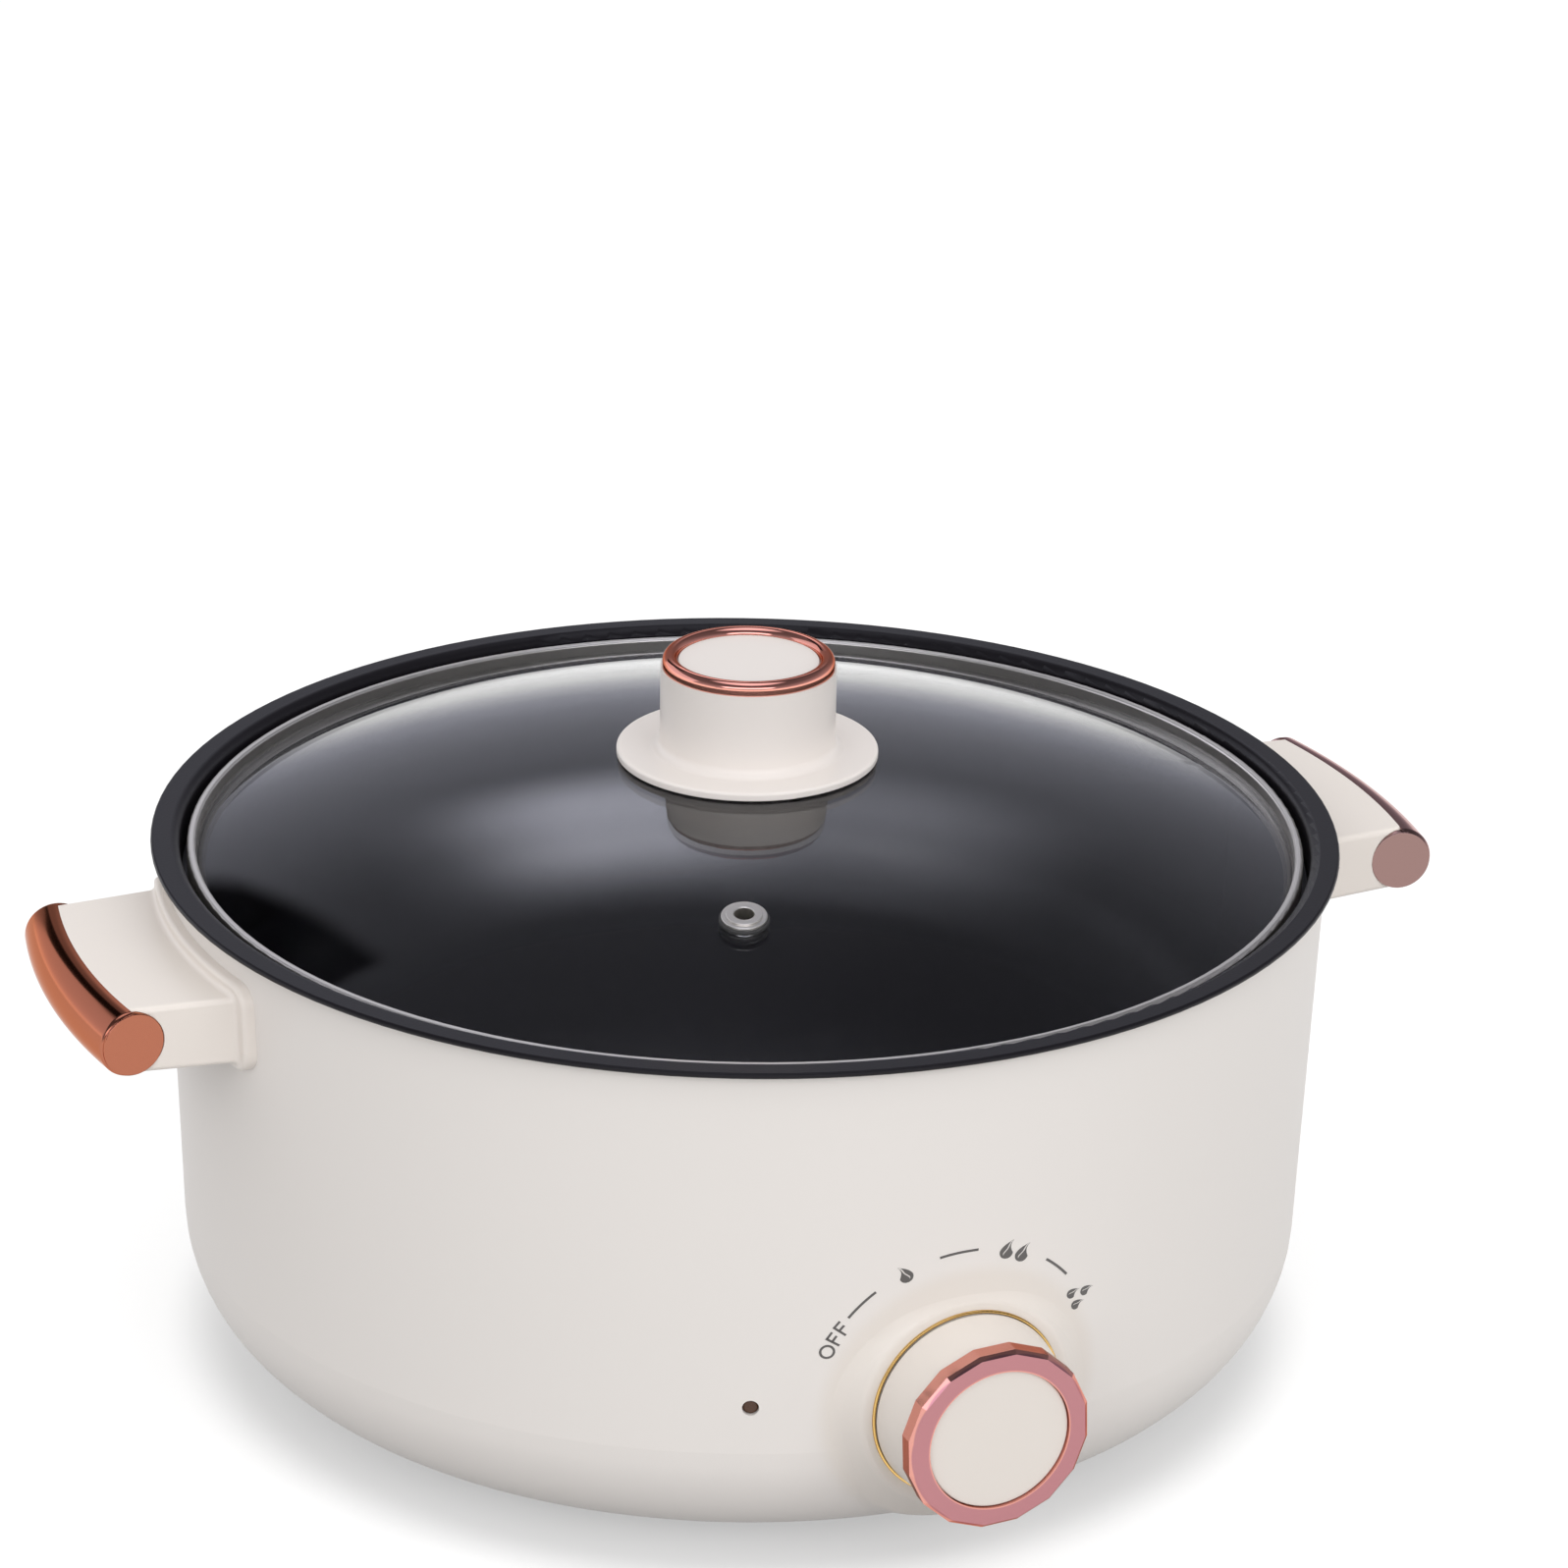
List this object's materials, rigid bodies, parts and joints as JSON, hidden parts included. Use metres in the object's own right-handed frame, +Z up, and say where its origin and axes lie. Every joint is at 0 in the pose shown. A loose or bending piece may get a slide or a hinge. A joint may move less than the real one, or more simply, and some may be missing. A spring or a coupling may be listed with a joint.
{
  "type": "electric hot pot",
  "caption": "Electric hot pot with a black non-stick pot, domed glass lid, cream shell, rose-gold trimmed handles and knobs, and a front heat dial",
  "frame": {"origin": "on the pot's vertical axis, in the plane of the rubber feet's undersides", "axes": "+Z up along the pot's axis; -Y is the front, where the heat dial is; the handles lie along +X and -X"},
  "size_m": [0.3878, 0.3359, 0.1947],
  "materials": {
    "cream_shell": "satin moulded housing, warm cream",
    "cream_knob": "smooth moulded plastic, warm cream",
    "black_enamel": "satin black non-stick coating on aluminium",
    "rose_gold": "rose-gold plating, polished",
    "polished_steel": "stainless steel, polished bright",
    "gilt": "gilt plating, polished",
    "smoked_glass": "tempered glass, clear and polished",
    "bare_aluminium": "cast, as machined",
    "tube_steel": "dull annealed sheath",
    "zinc_steel": "bright zinc plating",
    "black_plastic": "fine-grained black moulding",
    "black_rubber": "soft matt rubber",
    "amber_lens": "amber tinted lens",
    "white_sleeve": "white insulating sleeve",
    "brown_wire": "brown insulation",
    "blue_wire": "blue insulation",
    "green_wire": "green insulation"
  },
  "bodies": {
    "pot_body": {"outer_shell": "cream_shell", "inner_pot": "black_enamel", "heater_plate": "bare_aluminium", "heating_tube": "tube_steel", "thermostat": "black_plastic", "thermal_fuse": "white_sleeve", "fuse_clip": "zinc_steel", "pot_pillars": "zinc_steel", "base_cover": "black_plastic", "base_screws": "zinc_steel", "rubber_feet": "black_rubber", "right_handle": "cream_shell", "left_handle": "cream_shell", "right_handle_trim": "rose_gold", "left_handle_trim": "rose_gold", "handle_screws": "zinc_steel", "knob_base_ring": "gilt", "rotary_switch": "black_plastic", "switch_bracket": "zinc_steel", "switch_screws": "zinc_steel", "indicator_lens": "amber_lens", "indicator_lamp": "amber_lens", "power_inlet": "black_plastic", "inlet_pins": "zinc_steel", "inlet_screws": "zinc_steel", "live_wires": "brown_wire", "neutral_wires": "blue_wire", "earth_wire": "green_wire"},
    "dial_knob": {"switch_shaft": "zinc_steel", "knob_body": "cream_knob", "knob_ring": "rose_gold", "knob_cap": "cream_knob"},
    "lid": {"lid_glass": "smoked_glass", "lid_rim": "polished_steel", "vent_grommet": "black_rubber", "vent_eyelet": "polished_steel", "lid_knob_skirt": "cream_knob", "lid_knob": "cream_knob", "lid_knob_ring": "rose_gold", "lid_knob_cap": "cream_knob", "lid_knob_washer": "zinc_steel", "lid_knob_screw": "zinc_steel"}
  },
  "joints": [
    {"name": "knob_turn", "type": "hinge", "parent": "pot_body", "child": "dial_knob", "pos_m": [0, -0.155, 0.0485], "axis": [0, 1, 0], "range_deg": [0, 112]},
    {"name": "lid_lift", "type": "slide", "parent": "pot_body", "child": "lid", "axis": [0, 0, 1], "range_m": [0, 0.16]}
  ]
}
